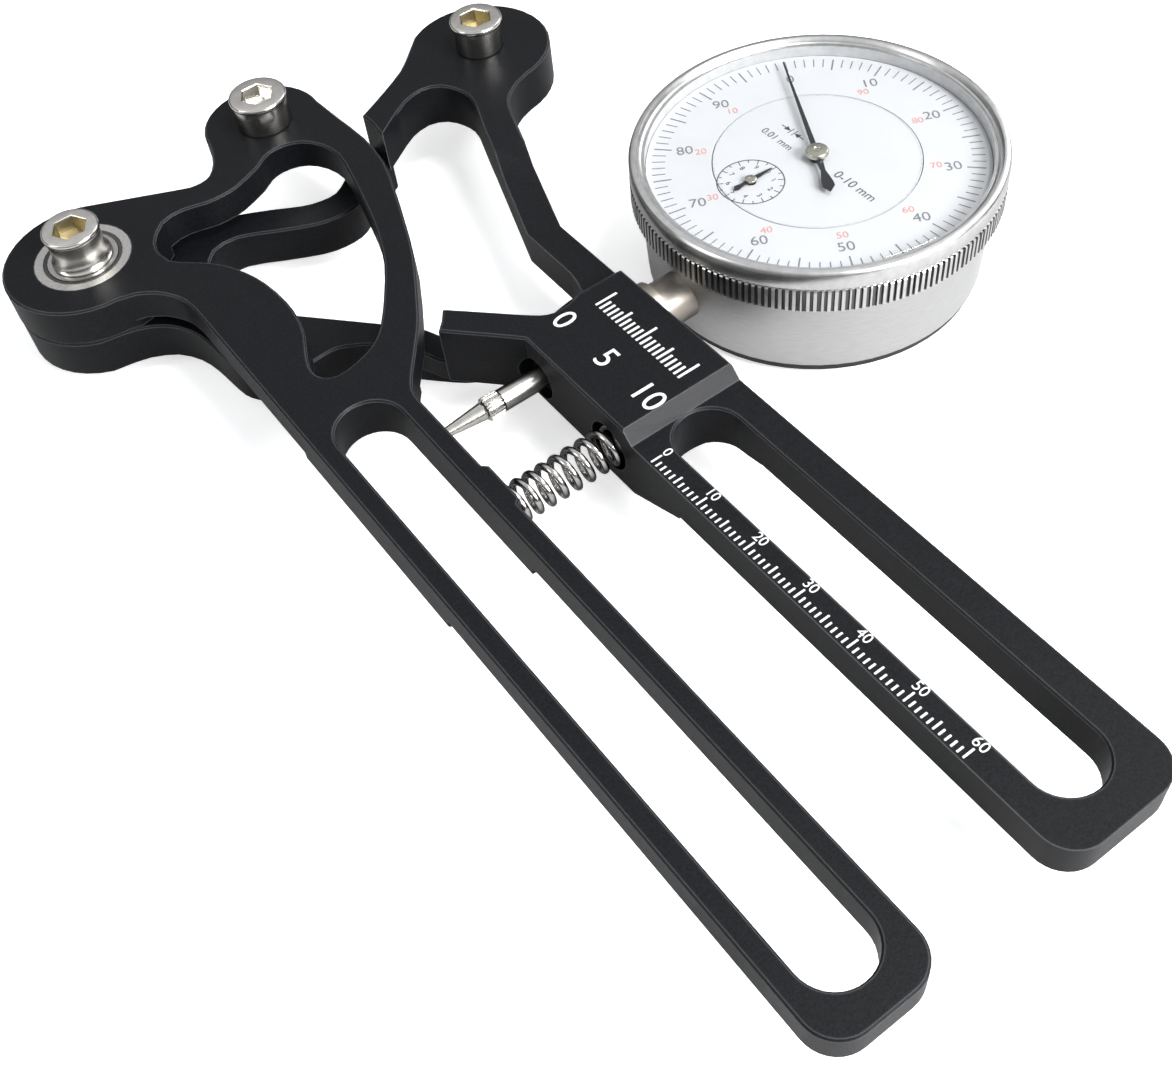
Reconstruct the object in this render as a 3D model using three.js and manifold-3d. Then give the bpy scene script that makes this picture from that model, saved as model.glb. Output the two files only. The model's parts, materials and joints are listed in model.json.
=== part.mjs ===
// Bicycle spoke tension meter with a dial indicator, in millimetres, +Z up.
// The origin is the pivot axis on the underside of the frame. The dial's stem runs along +X, the spoke
// posts stand at +Y and the two handles run to -Y.
import * as THREE from "three";
import { mergeVertices } from "three/addons/utils/BufferGeometryUtils.js";
import Module from "manifold-3d";

const wasm = await Module();
wasm.setup();

// Plates
const FRAME_BOTTOM = 0;
const LAYER_SPLIT = 7;
const TOP = 14;
const HANDLE_TOP = 12;
const NECK_BOTTOM = 6;
const LEVER_GAP = 0.2;
const LEVER_HEAD_BOTTOM = 8.8;
const LEVER_TAIL_BOTTOM = 9;
const EDGE = 0.3;
const LOBE_RADIUS = 13.3;
const BOSS = { x: 40, y: 11.5, r: 10.4 };
const RIGHT_LOBE = { x: 80.7, y: 3.2, r: 13 };
const HANDLE_END = -171.4;
const HANDLE_CORNER = 5;

// Handles and their slots
const LEVER_HANDLE = { left: 8.6, right: 25.5 };
const LEVER_SLOT = { x: 17.05, r: 5.35, top: -58.7, bottom: -167.2 };
const FRAME_HANDLE = { left: 44.4, right: 64.3 };
const FRAME_SLOT = { x: 54.15, r: 5.35, top: -90.3, bottom: -166.5 };
const PAD = { top: -80.2, bottom: -89.4, out: 0.8 };

// Block that holds the dial's stem and the spring
const BLOCK_FAR = -61.7;
const BLOCK_NEAR = -88;
const BLOCK_CHAMFER = 2;
const RAMP_START = -86.4;
const RAMP_END = -101;
const AXIS_Z = 7;
const STEM_Y = -66.1;
const STEM_RADIUS = 4;
const STEM_START = 46.2;
const STEM_LENGTH = 27.2;
const SPINDLE_RADIUS = 1.8;
const SPINDLE_HOLE = 3.6;
const UNDERCUT = 3.1;
const RELIEF = 1.3;
const TIP = { start: 0.5, end: 1.45, length: 8.75 };
const COLLAR = { radius: 2, length: 2.9, teeth: 30 };
const TENON = { radius: 1.15, length: 3 };
const SPRING = { y: -84, radius: 2.75, wire: 0.58, coils: 11, from: 26.35, to: 52.3 };
const SPRING_BORE = { radius: 4.1, end: 52.6 };

// Spoke posts and the pivot bearing
const POST_TOP = 20.3;
const SOCKET = { radius: 2.887, depth: 2.8 };
const BEARING = { bore: 4, outer: 8, width: 5, innerRace: 5.85, outerRace: 6.6, ball: 1.1,
  cage: 0.25, balls: 9 };
const BEARING_BOTTOM = TOP - BEARING.width;
const THREAD_RADIUS = 3;
const MIDDLE_POST = { x: 40.3, y: 11, r: 5.05, body: 4.8, top: 19.7 };
const RIGHT_POST = { x: 80.9, y: 3.1, r: 4.73, body: 4.27, top: 19.8 };
const PIVOT_THREAD_END = 1.2;
const FIT = 0.03;

// Dial
const DIAL = { x: 100.1, y: STEM_Y };
const COVER = { bottom: -1.4, top: 0.4, radius: 27.2 };
const CASE = { bottom: 0.45, top: 13.4, radius: 27.6, flare: 28.2, wall: 1.3 };
const BEZEL = { bottom: 13.5, rib: 18.3, top: 21.4, radius: 29.8, lip: 28.3, inner: 27.2, ribs: 60 };
const FACE_TOP = 18.6;
const FACE_THICK = 0.5;
const INNER_FACE_RADIUS = 16.45;
const RING_INNER = 16.6;
const CRYSTAL = { bottom: 20.5, top: 21.2, radius: 27.6 };
const SMALL = { dx: -11.3, dy: 2.7 };
const BACKLASH = { dx: 7.4, dy: -8.95 };
const PLATE = { top: 13.2, thick: 1.1, radius: 25.6 };
const GEAR = { teeth: 60, radius: 10.5, depth: 0.35, bottom: 10.2, top: 11 };
const PINION = { teeth: 6, radius: 1, depth: 0.25 };
const RACK = { from: 80, to: 104.5, pitch: 1.25, flat: 1.08, root: 0.7 };
const RACK_PINION = { teeth: 16, radius: 1.49, depth: 0.35 };
const ARBOR_RADIUS = 0.6;
const HUB = { radius: 1.85, bottom: 1.05, top: 1.8 };
const BIG_HAND_ANGLE = 61.3;

const ROUND = 32;
const FINE = 64;
const ARC_STEP = 10;

const deg = THREE.MathUtils.degToRad;

// ---- shared shape helpers ----

function toSolid(geometry) {
  const soup = geometry.index ? geometry.toNonIndexed() : geometry;
  const bare = new THREE.BufferGeometry();
  bare.setAttribute("position", soup.getAttribute("position"));
  const merged = mergeVertices(bare, 1e-4);
  const index = merged.index.array;
  const kept = [];
  for (let i = 0; i < index.length; i += 3) {
    const [a, b, c] = [index[i], index[i + 1], index[i + 2]];
    if (a !== b && b !== c && a !== c) kept.push(a, b, c);
  }
  const build = (order) =>
    new wasm.Manifold(
      new wasm.Mesh({
        numProp: 3,
        vertProperties: merged.attributes.position.array,
        triVerts: new Uint32Array(order),
      }),
    );
  const made = build(kept);
  if (made.volume() > 0) return made;
  const turned = [];
  for (let i = 0; i < kept.length; i += 3) turned.push(kept[i], kept[i + 2], kept[i + 1]);
  return build(turned);
}

function toGeometry(solid) {
  const mesh = solid.getMesh();
  const positions = new Float32Array(mesh.numVert * 3);
  for (let i = 0; i < mesh.numVert; i++) {
    positions.set(mesh.vertProperties.subarray(i * mesh.numProp, i * mesh.numProp + 3), i * 3);
  }
  const geometry = new THREE.BufferGeometry();
  geometry.setAttribute("position", new THREE.BufferAttribute(positions, 3));
  geometry.setIndex(new THREE.BufferAttribute(mesh.triVerts, 1));
  return geometry;
}

function union(solids) {
  return solids.reduce((sum, next) => sum.add(next));
}

// Turned solid about +Z from [radius, z] pairs; a profile that leaves the axis is closed on itself.
function turned(profile, segments = ROUND) {
  const points = profile.map(([r, z]) => new THREE.Vector2(r, z));
  if (profile[0][0] > 0) points.push(points[0].clone());
  return toSolid(new THREE.LatheGeometry(points, segments).rotateX(Math.PI / 2));
}

function ring(inner, outer, bottom, top, segments = ROUND) {
  return turned([[inner, bottom], [outer, bottom], [outer, top], [inner, top]], segments);
}

function disc(radius, bottom, top, segments = ROUND) {
  return turned([[0, bottom], [radius, bottom], [radius, top], [0, top]], segments);
}

// Lays a solid turned about +Z along +X, with its z = 0 at x = 0.
function alongX(solid, x, y, z) {
  return solid.rotate([0, 90, 0]).translate([x, y, z]);
}

function arc(x, y, r, from, to, step = ARC_STEP) {
  const steps = Math.max(2, Math.ceil(Math.abs(to - from) / step));
  return Array.from({ length: steps + 1 }, (_, i) => {
    const a = deg(from + ((to - from) * i) / steps);
    return [x + r * Math.cos(a), y + r * Math.sin(a)];
  });
}

function smooth(points, perSpan = 2) {
  const curve = new THREE.SplineCurve(points.map(([x, y]) => new THREE.Vector2(x, y)));
  return curve.getPoints(perSpan * (points.length - 1)).map((p) => [p.x, p.y]);
}

function shapeOf(points) {
  const kept = points.filter(([x, y], i) => {
    const [px, py] = points[(i + points.length - 1) % points.length];
    return Math.hypot(x - px, y - py) > 0.05;
  });
  return new THREE.Shape(kept.map(([x, y]) => new THREE.Vector2(x, y)));
}

// Flat plate between two heights with a small chamfer all round.
function plate(shape, bottom, top, chamfer = 0) {
  const geometry = new THREE.ExtrudeGeometry(shape, {
    depth: top - bottom - 2 * chamfer,
    bevelEnabled: chamfer > 0,
    bevelThickness: chamfer,
    bevelSize: chamfer,
    bevelOffset: -chamfer,
    bevelSegments: 1,
  });
  return toSolid(geometry.translate(0, 0, bottom + chamfer));
}

// Cutter for a through opening whose upper rim gets the same small chamfer as the plate's edges.
function opening(shape, bottom, top) {
  const flare = new THREE.ExtrudeGeometry(shape, {
    depth: 1,
    bevelThickness: EDGE,
    bevelSize: EDGE,
    bevelSegments: 1,
  });
  return plate(shape, bottom - 1, top + 1).add(toSolid(flare.translate(0, 0, top)));
}

// Prism along X from a side profile of [y, z] pairs.
function sidePrism(profile, left, right) {
  const shape = new THREE.Shape(profile.map(([y, z]) => new THREE.Vector2(y, z)));
  const geometry = new THREE.ExtrudeGeometry(shape, { depth: right - left, bevelEnabled: false });
  geometry.applyMatrix4(new THREE.Matrix4().set(0, 0, 1, left, 1, 0, 0, 0, 0, 1, 0, 0, 0, 0, 0, 1));
  return toSolid(geometry);
}

function slotPoints({ x, r, top, bottom }) {
  return [...arc(x, top - r, r, 180, 0), ...arc(x, bottom + r, r, 0, -180)];
}

function hexSocket(top, depth) {
  const hex = new THREE.CylinderGeometry(SOCKET.radius, SOCKET.radius, depth + 1, 6).rotateX(Math.PI / 2);
  return toSolid(hex.translate(0, 0, top - depth + (depth + 1) / 2));
}

// ---- frame ----

function handleFoot({ left, right }) {
  return [
    ...arc(right - HANDLE_CORNER, HANDLE_END + HANDLE_CORNER, HANDLE_CORNER, 0, -90),
    ...arc(left + HANDLE_CORNER, HANDLE_END + HANDLE_CORNER, HANDLE_CORNER, -90, -180),
  ];
}

// Right lobe, neck, block and handle seen from above.
function upperOutline() {
  return [
    [53.9, -6.8],
    [54.25, -3],
    [54.2, 0.5],
    ...smooth([[55, 0.9], [60, 3.5], [66, 7], [70, 10.6], [73.3, 13.8]]),
    ...arc(RIGHT_LOBE.x, RIGHT_LOBE.y, RIGHT_LOBE.r, 122, -82),
    ...smooth([[80, -10.6], [77, -12.5], [74.8, -15.5], [73.2, -19.8]]),
    [64.3, -45],
    ...handleFoot(FRAME_HANDLE),
    [44.4, -64],
    [43, -62.3],
    [35.3, -53.8],
    [36.9, -52.2],
    [38.4, -50.2],
    ...smooth([
      [39, -50.7], [44, -56], [48, -60.2], [50, -61.8], [52.3, -62.3], [55, -61.8], [57.8, -60],
      [59, -55],
    ]),
    [59.1, -43],
    [68.3, -17],
    ...smooth([[70.6, -10.5], [71.1, -8], [70.6, -5], [69, -2], [66, -0.6], [62, -1.5], [58, -4]]),
  ];
}

// The two low arms that pass under the lever, joined at the pivot lobe.
function lowerOutline() {
  return [
    ...arc(0, 0, LOBE_RADIUS, 247, 68),
    [29.5, -0.5],
    ...smooth([
      [33, -2.5], [37, -5], [40, -6], [43, -6], [46, -4], [50, -0.6], [53, 0.4], [55.8, 0],
    ]),
    [56.6, -2],
    [55.6, -4.4],
    ...smooth([
      [50, -7.5], [46, -10.5], [43.6, -11.8], [40, -12], [36, -11], [30, -7.8], [24.3, -4.7],
      [19.5, -5], [16.8, -9], [16.4, -15], [18, -21.5], [22.8, -28.5],
    ]),
    [31.7, -38.7],
    [37, -45.4],
    [39.2, -51],
    [44, -56.2],
    [50, -62],
    [50, -66],
    [46, -66],
    [43, -62.3],
    [36.5, -55.1],
    ...smooth([
      [34.8, -52.6], [33, -48.2], [29.4, -43.2], [25.4, -40.2], [22.7, -39.3], [19.5, -39.5],
      [16, -39.3], [13, -37.6], [10.5, -34.5], [9.3, -32], [8.8, -28], [8.4, -24], [7.4, -20],
      [5, -16.2], [1, -13.6], [-3, -12.6],
    ]),
  ];
}

function blockOutline() {
  return [
    [44.4, -64],
    [43, -62.3],
    [35.3, -53.8],
    [36.9, -52.2],
    [38.4, -50.2],
    [44, -56],
    [50, -61.8],
    [54, -61],
    [64.3, -60],
    [64.3, RAMP_END + 0.5],
    [44.4, RAMP_END + 0.5],
  ];
}

// Edge of the frame's foot under the overhanging horn and the front of the block
function undercutOutline() {
  return [
    ...smooth([[32.6, -47.2], [35.2, -50.2], [38.2, -53.3], [41.3, -55.5], [44, -57.3], [46.1, -60]]),
    [46.1, -75.4],
    [44.3, -77.6],
    [40, -77.6],
    [40, -64],
    [31, -54],
    [31, -47.2],
  ];
}

function makeFrame() {
  let body = plate(shapeOf(upperOutline()), NECK_BOTTOM, TOP, EDGE);
  body = body.add(plate(shapeOf(lowerOutline()), FRAME_BOTTOM, LAYER_SPLIT, EDGE));
  body = body.add(plate(shapeOf(blockOutline()), FRAME_BOTTOM, TOP - 1));
  const step = BLOCK_CHAMFER;
  const cuts = [
    sidePrism([[-24, TOP + 0.01], [-29.3, HANDLE_TOP], [BLOCK_FAR + step, HANDLE_TOP], [BLOCK_FAR, TOP],
      [BLOCK_FAR, 20], [-24, 20]], 56.2, 90),
    sidePrism([[BLOCK_NEAR, TOP], [BLOCK_NEAR - step, HANDLE_TOP], [-180, HANDLE_TOP], [-180, 20],
      [BLOCK_NEAR, 20]], 30, 90),
    sidePrism([[RAMP_START, -0.01], [RAMP_END, NECK_BOTTOM], [RAMP_END - 2, NECK_BOTTOM],
      [RAMP_END - 2, -5], [RAMP_START, -5]], 30, 90),
    // the underside rises sooner beside the slot
    sidePrism([[-84.5, -0.01], [-91, 4.4], [-97.5, 5.3], [RAMP_END, NECK_BOTTOM], [RAMP_END, -5],
      [-84.5, -5]], 50, 90),
    opening(shapeOf(slotPoints(FRAME_SLOT)), FRAME_BOTTOM, HANDLE_TOP),
    alongX(disc(STEM_RADIUS + FIT, 0, 30), STEM_START - 0.05, STEM_Y, AXIS_Z),
    alongX(disc(SPINDLE_HOLE, 0, 20), 34.4, STEM_Y, AXIS_Z),
    alongX(disc(SPRING_BORE.radius, 0, SPRING_BORE.end - 34.4), 34.4, SPRING.y, AXIS_Z),
    disc(THREAD_RADIUS + FIT, PIVOT_THREAD_END, 8),
    disc(THREAD_RADIUS + FIT, 5, 15).translate([RIGHT_POST.x, RIGHT_POST.y, 0]),
    disc(2 + FIT, -1, 4).translate([54, STEM_Y, 0]),
    plate(shapeOf(undercutOutline()), -1, UNDERCUT),
    plate(shapeOf([[43, -77], [45.7, -77], [45.7, -91], [43, -91]]), -1, RELIEF),
  ];
  return body.subtract(union(cuts));
}

// ---- lever ----

function leverOutline() {
  const { left, right } = LEVER_HANDLE;
  return [
    ...arc(0, 0, LOBE_RADIUS + 0.1, 270, 67),
    [20.5, 4.6],
    ...smooth([[21.8, 4], [23.6, 3.8], [25.7, 4.5], [27.8, 7.2], [29.3, 11]]),
    ...arc(BOSS.x, BOSS.y, BOSS.r, 176, -8),
    ...smooth([
      [50.7, 3], [51.2, -5], [50.4, -13], [48, -20.5], [45, -28.5], [41.5, -37], [36, -47],
      [33.2, -51.5], [28, -58.2], [25.9, -61.5], [right, -64],
    ]),
    [right, PAD.top],
    [right + PAD.out, PAD.top - 0.8],
    [right + PAD.out, PAD.bottom + 0.8],
    [right, PAD.bottom],
    ...handleFoot(LEVER_HANDLE),
    ...smooth([[left, -24], [8.2, -21], [7.3, -18.8], [5.5, -16.2], [3, -14.3]]),
  ];
}

function leverWindow() {
  return smooth([
    [10.3, -8], [10.8, -5], [14, -1.3], [18, -0.7], [22, -1.8], [25, -2], [28, -1.6], [33, 0.5],
    [35.5, 2.2], [38, 2.8], [41, 2.2], [43.5, 0], [45.1, -4], [44.9, -9], [42, -21], [39.9, -28],
    [37, -35], [33, -41.5], [30.3, -45.3], [28.1, -47.9], [25.7, -49.7], [22.6, -50.9],
    [19, -51.5], [16.8, -50.3], [16.3, -47.7], [17.6, -44.2], [19.3, -40.6], [20.3, -36.7],
    [20.7, -32], [20.2, -26], [19, -21.7], [17.3, -18], [15, -15], [12.2, -12.3], [10.8, -10.6],
  ], 2);
}

function makeLever() {
  const bottom = LAYER_SPLIT + LEVER_GAP;
  const body = plate(shapeOf(leverOutline()), bottom, TOP, EDGE);
  const headRelief = shapeOf([
    ...arc(0, 0, LOBE_RADIUS + 0.6, 80, -85),
    [3, -30], [3, -57], [60, -57], [60, 30], [2.4, 30],
  ]);
  const tailRelief = shapeOf([[0, -96], [40, -96], [40, -180], [0, -180]]);
  const cuts = [
    opening(shapeOf(leverWindow()), LAYER_SPLIT, TOP),
    opening(shapeOf(slotPoints(LEVER_SLOT)), LAYER_SPLIT, TOP),
    plate(headRelief, 0, LEVER_HEAD_BOTTOM),
    plate(tailRelief, 0, LEVER_TAIL_BOTTOM),
    disc(BEARING.outer + FIT, BEARING_BOTTOM, 20),
    disc(BEARING.outer - 1.4, 0, 20),
    disc(THREAD_RADIUS + FIT, 0, 20).translate([MIDDLE_POST.x, MIDDLE_POST.y, 0]),
  ];
  return body.subtract(union(cuts));
}

// ---- pivot, posts and screws ----

function makePivotPost() {
  const seat = BEARING.bore - FIT;
  const end = PIVOT_THREAD_END + 0.3;
  const body = turned([
    [0, end], [THREAD_RADIUS - 0.5, end], [THREAD_RADIUS, end + 0.5], [THREAD_RADIUS, BEARING_BOTTOM],
    [seat, BEARING_BOTTOM],
    [seat, TOP + 0.1], [5, TOP + 0.1], [5, TOP + 0.5], [4.6, TOP + 0.9], [4.35, TOP + 2.2], [4.45,
    POST_TOP - 1.5],
    [4.74, POST_TOP - 0.9], [4.74, POST_TOP - 0.3], [4.45, POST_TOP], [0, POST_TOP],
  ]);
  return body.subtract(hexSocket(POST_TOP, SOCKET.depth));
}

function makePost({ r, body: shaft, top }, threadEnd) {
  const body = turned([
    [0, threadEnd], [THREAD_RADIUS - 0.5, threadEnd], [THREAD_RADIUS, threadEnd + 0.5],
    [THREAD_RADIUS, TOP + 0.05],
    [shaft - 0.2, TOP + 0.05], [shaft, TOP + 0.3], [shaft, top - 1.1], [r, top - 0.9], [r, top - 0.3],
    [r - 0.3, top], [0, top],
  ]);
  return body.subtract(hexSocket(top, SOCKET.depth));
}

function raceProfile(edge, wall, side) {
  const pitch = (BEARING.innerRace + BEARING.outerRace) / 2;
  const groove = BEARING.ball + 0.12;
  const mid = BEARING_BOTTOM + BEARING.width / 2;
  const half = Math.acos((Math.abs(pitch - wall)) / groove) * (180 / Math.PI);
  const facing = side > 0 ? 180 : 0;
  const bowl = arc(pitch, mid, groove, facing + half, facing - half, 30);
  const [low, high] = [BEARING_BOTTOM + FIT, TOP];
  const turn = bowl[0][1] < mid ? bowl : bowl.reverse();
  return [[edge, low], [wall, low], ...turn, [wall, high], [edge, high]];
}

function makeBallRing() {
  const pitch = (BEARING.innerRace + BEARING.outerRace) / 2;
  const mid = BEARING_BOTTOM + BEARING.width / 2;
  const parts = [ring(pitch - BEARING.cage, pitch + BEARING.cage, mid - 0.5, mid + 0.5)];
  for (let i = 0; i < BEARING.balls; i++) {
    const ball = toSolid(new THREE.SphereGeometry(BEARING.ball, 8, 6));
    const a = (2 * Math.PI * i) / BEARING.balls;
    parts.push(ball.translate([pitch * Math.cos(a), pitch * Math.sin(a), mid]));
  }
  return union(parts);
}

function makeShield(top) {
  return ring(BEARING.innerRace + 0.12, BEARING.outerRace - FIT, top - 0.3, top);
}

// ---- spring and plunger ----

class Helix extends THREE.Curve {
  constructor({ radius, coils, length }) {
    super();
    Object.assign(this, { radius, coils, length });
  }
  getPoint(t, target = new THREE.Vector3()) {
    const a = 2 * Math.PI * this.coils * t;
    return target.set(this.radius * Math.cos(a), this.radius * Math.sin(a), this.length * t);
  }
}

function makeSpring() {
  const { radius, wire, coils, from, to, y } = SPRING;
  const path = new Helix({ radius, coils, length: to - from - 2 * wire });
  const section = new THREE.Shape();
  section.absarc(0, 0, wire, 0, 2 * Math.PI);
  const steps = Math.round(coils * 11);
  const coil = new THREE.ExtrudeGeometry(section, { steps, extrudePath: path, curveSegments: 3 });
  return alongX(toSolid(coil), from + wire, y, AXIS_Z);
}

const TIP_LEFT = LEVER_HANDLE.right + 0.05;
const COLLAR_LEFT = TIP_LEFT + TIP.length + 0.05;

function makeTip() {
  return alongX(turned([
    [0, 0], [TIP.start, 0.1], [TIP.start + 0.15, 0.5], [TIP.end, TIP.length - 0.4],
    [TIP.end - 0.1, TIP.length], [0, TIP.length],
  ]), TIP_LEFT, STEM_Y, AXIS_Z);
}

function makeCollar() {
  const points = Array.from({ length: 2 * COLLAR.teeth }, (_, i) => {
    const r = i % 2 ? COLLAR.radius - 0.15 : COLLAR.radius;
    const a = (Math.PI * i) / COLLAR.teeth;
    return [r * Math.cos(a), r * Math.sin(a)];
  });
  const body = plate(shapeOf(points), 0, COLLAR.length).subtract(disc(TENON.radius + 0.05, -1, 5));
  return alongX(body, COLLAR_LEFT, STEM_Y, AXIS_Z);
}

// The rack is a flat on the far side of the spindle with square gashes across it.
function makeSpindle() {
  const length = 112 - COLLAR_LEFT;
  const rod = turned([
    [0, 0], [TENON.radius, 0], [TENON.radius, TENON.length], [SPINDLE_RADIUS, TENON.length],
    [SPINDLE_RADIUS, length - 0.4], [SPINDLE_RADIUS - 0.4, length], [0, length],
  ]);
  const gash = (depth, from, to) => {
    const near = STEM_Y + depth;
    return sidePrism([[near, 0], [STEM_Y + 5, 0], [STEM_Y + 5, 20], [near, 20]], from, to);
  };
  const cuts = [gash(RACK.flat, RACK.from, RACK.to)];
  for (let x = RACK.from + 0.5; x < RACK.to - 0.7; x += RACK.pitch) {
    cuts.push(gash(RACK.root, x, x + RACK.pitch / 2));
  }
  return alongX(rod, COLLAR_LEFT, STEM_Y, AXIS_Z).subtract(union(cuts));
}

function makeStem() {
  const tube = ring(SPINDLE_RADIUS + 0.05, STEM_RADIUS, 0, STEM_LENGTH);
  return alongX(tube, STEM_START, STEM_Y, AXIS_Z);
}

function makeStemSleeve() {
  return alongX(ring(STEM_RADIUS + FIT, 4.9, 0, 2.4), FRAME_HANDLE.right + 0.05, STEM_Y, AXIS_Z);
}

// ---- dial ----

function atDial(solid, dx = 0, dy = 0) {
  return solid.translate([DIAL.x + dx, DIAL.y + dy, 0]);
}

function makeCase() {
  const inner = CASE.flare - CASE.wall;
  const shell = turned([
    [CASE.radius - CASE.wall, CASE.bottom], [CASE.radius, CASE.bottom], [CASE.flare, CASE.top - 0.6],
    [CASE.flare, CASE.top - 0.05], [CASE.flare - 0.5, CASE.top], [inner, CASE.top],
    [inner, PLATE.top - 1.4], [inner - 0.8, PLATE.top - 1.6], [inner - 0.8, 4],
    [CASE.radius - CASE.wall, 3.4],
  ], FINE);
  const bore = alongX(disc(STEM_RADIUS + FIT, 0, 12), -32, 0, AXIS_Z);
  const ears = [40, 160, 280].map((a) => {
    const ear = ring(23.4, inner - 0.4, PLATE.top - 2.6, PLATE.top - 1.6);
    const wedge = plate(shapeOf([[0, 0], [40, -5], [40, 5]]), 0, 20);
    return ear.intersect(wedge).rotate([0, 0, a]);
  });
  return atDial(union([shell, ...ears]).subtract(bore));
}

function makeBackCover() {
  const body = turned([
    [0, COVER.bottom + 0.3], [20, COVER.bottom + 0.3], [20.6, COVER.bottom], [COVER.radius - 0.5,
    COVER.bottom],
    [COVER.radius, COVER.bottom + 0.5], [COVER.radius, COVER.top], [0, COVER.top],
  ], FINE);
  const holes = coverScrewSpots().map(([x, y]) => disc(0.9 + FIT, -5, 5, 24).translate([x, y, 0]));
  return atDial(body.subtract(union(holes)));
}

function coverScrewSpots() {
  return [45, 135, 225, 315].map((a) => [22.6 * Math.cos(deg(a)), 22.6 * Math.sin(deg(a))]);
}

function makeCoverScrew([x, y]) {
  const body = turned([
    [0, COVER.bottom - 0.02], [1.5, COVER.bottom - 0.02], [1.5, COVER.bottom - 0.32], [1.2,
    COVER.bottom - 0.55],
    [0, COVER.bottom - 0.55],
  ].reverse(), 24);
  const shank = disc(0.9, COVER.bottom - 0.1, 1.9, 24);
  const slot = plate(shapeOf([[-2, -0.2], [2, -0.2], [2, 0.2], [-2, 0.2]]), COVER.bottom - 1,
    COVER.bottom - 0.3);
  return atDial(body.add(shank).subtract(slot), x, y);
}

function makeBezel() {
  const points = [];
  for (let i = 0; i < BEZEL.ribs * 2; i++) {
    const r = i % 2 ? BEZEL.radius : BEZEL.radius - 0.3;
    const a = (Math.PI * i) / BEZEL.ribs;
    points.push([r * Math.cos(a), r * Math.sin(a)]);
  }
  const band = plate(shapeOf(points), BEZEL.bottom + 0.3, BEZEL.rib);
  const lip = turned([
    [BEZEL.inner, BEZEL.bottom], [BEZEL.radius - 0.6, BEZEL.bottom], [BEZEL.radius - 0.35,
    BEZEL.bottom + 0.4],
    [BEZEL.radius - 0.35, BEZEL.rib], [BEZEL.radius - 0.1, BEZEL.rib + 0.25], [BEZEL.radius - 0.1,
    BEZEL.top - 0.7],
    [BEZEL.radius - 0.45, BEZEL.top - 0.1], [BEZEL.radius - 0.9, BEZEL.top], [BEZEL.lip, BEZEL.top - 0.5],
    [BEZEL.lip - 0.2, BEZEL.top - 1.1], [BEZEL.inner, BEZEL.top - 1.3],
  ], FINE);
  const bore = disc(BEZEL.inner, 0, 40, FINE);
  const seat = disc(CASE.flare + 0.05, 0, BEZEL.bottom + 0.6, FINE);
  const crystalSeat = disc(CRYSTAL.radius + 0.15, CRYSTAL.bottom - 0.05, CRYSTAL.top + 2, FINE);
  return atDial(band.add(lip).subtract(union([bore, seat, crystalSeat])));
}

function makeCrystal() {
  const { bottom, top, radius } = CRYSTAL;
  return atDial(turned([[0, bottom], [radius, bottom], [radius, top - 0.25], [radius - 0.3, top], [0,
    top]], FINE));
}

function makeDialRing() {
  return atDial(ring(RING_INNER, BEZEL.inner - 0.1, FACE_TOP - FACE_THICK, FACE_TOP, FINE));
}

function makeInnerFace() {
  const face = disc(INNER_FACE_RADIUS, FACE_TOP - FACE_THICK, FACE_TOP, FINE);
  const holes = [disc(1.2, 0, 30, 24), disc(0.9, 0, 30, 24).translate([SMALL.dx, SMALL.dy, 0])];
  return atDial(face.subtract(union(holes)));
}

// Turret that carries the still centre of the face above the upper movement plate.
function makeUpperPlate() {
  const plateDisc = disc(PLATE.radius, PLATE.top - PLATE.thick, PLATE.top, FINE);
  const carrier = ring(13.5, 15.5, PLATE.top - 0.1, FACE_TOP - FACE_THICK - 0.02, FINE);
  const holes = [
    disc(ARBOR_RADIUS + 0.1, 0, 30, 24),
    disc(ARBOR_RADIUS + 0.1, 0, 30, 24).translate([SMALL.dx, SMALL.dy, 0]),
    disc(ARBOR_RADIUS + 0.1, 0, 30, 24).translate([BACKLASH.dx, BACKLASH.dy, 0]),
  ];
  return atDial(plateDisc.add(carrier).subtract(union(holes)));
}

function toothed({ teeth, radius, depth }, bottom, top) {
  const points = [];
  for (let i = 0; i < teeth * 4; i++) {
    const r = i % 4 < 2 ? radius : radius - depth;
    const a = (2 * Math.PI * (i + (i % 2 ? -0.2 : 0.2))) / (teeth * 4);
    points.push(new THREE.Vector2(r * Math.cos(a), r * Math.sin(a)));
  }
  return plate(new THREE.Shape(points), bottom, top);
}

function makeRackArbor() {
  const shaft = disc(ARBOR_RADIUS, 3.9, FACE_TOP + 0.55, 24);
  const parts = [shaft, toothed(RACK_PINION, 5.2, 9), toothed(GEAR, GEAR.bottom, GEAR.top)];
  return atDial(union(parts), SMALL.dx, SMALL.dy);
}

function makeCenterArbor() {
  const shaft = disc(ARBOR_RADIUS, 9.7, FACE_TOP + HUB.bottom + 0.3, 24);
  return atDial(shaft.add(toothed(PINION, GEAR.bottom - 0.3, GEAR.top + 0.8)));
}

function makeBacklashArbor() {
  const shaft = disc(ARBOR_RADIUS, 9.7, PLATE.top - 0.1, 24);
  return atDial(shaft.add(toothed(GEAR, GEAR.bottom, GEAR.top)), BACKLASH.dx, BACKLASH.dy);
}

// Tapered needle with a spade tail, pointing along +X about its own hub.
function handShape(length, tail, width, spade) {
  return shapeOf([
    [length, width * 0.22], [2, width * 0.5], ...arc(0, 0, 1.1 * width, 40, 150), [-tail * 0.5,
    width * 0.45],
    [-tail * 0.78, spade], [-tail * 0.86, spade * 0.95], [-tail, 0], [-tail * 0.86, -spade * 0.95],
    [-tail * 0.78, -spade], [-tail * 0.5, -width * 0.45], ...arc(0, 0, 1.1 * width, 210, 320),
    [2, -width * 0.5], [length, -width * 0.22],
  ]);
}

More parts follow.
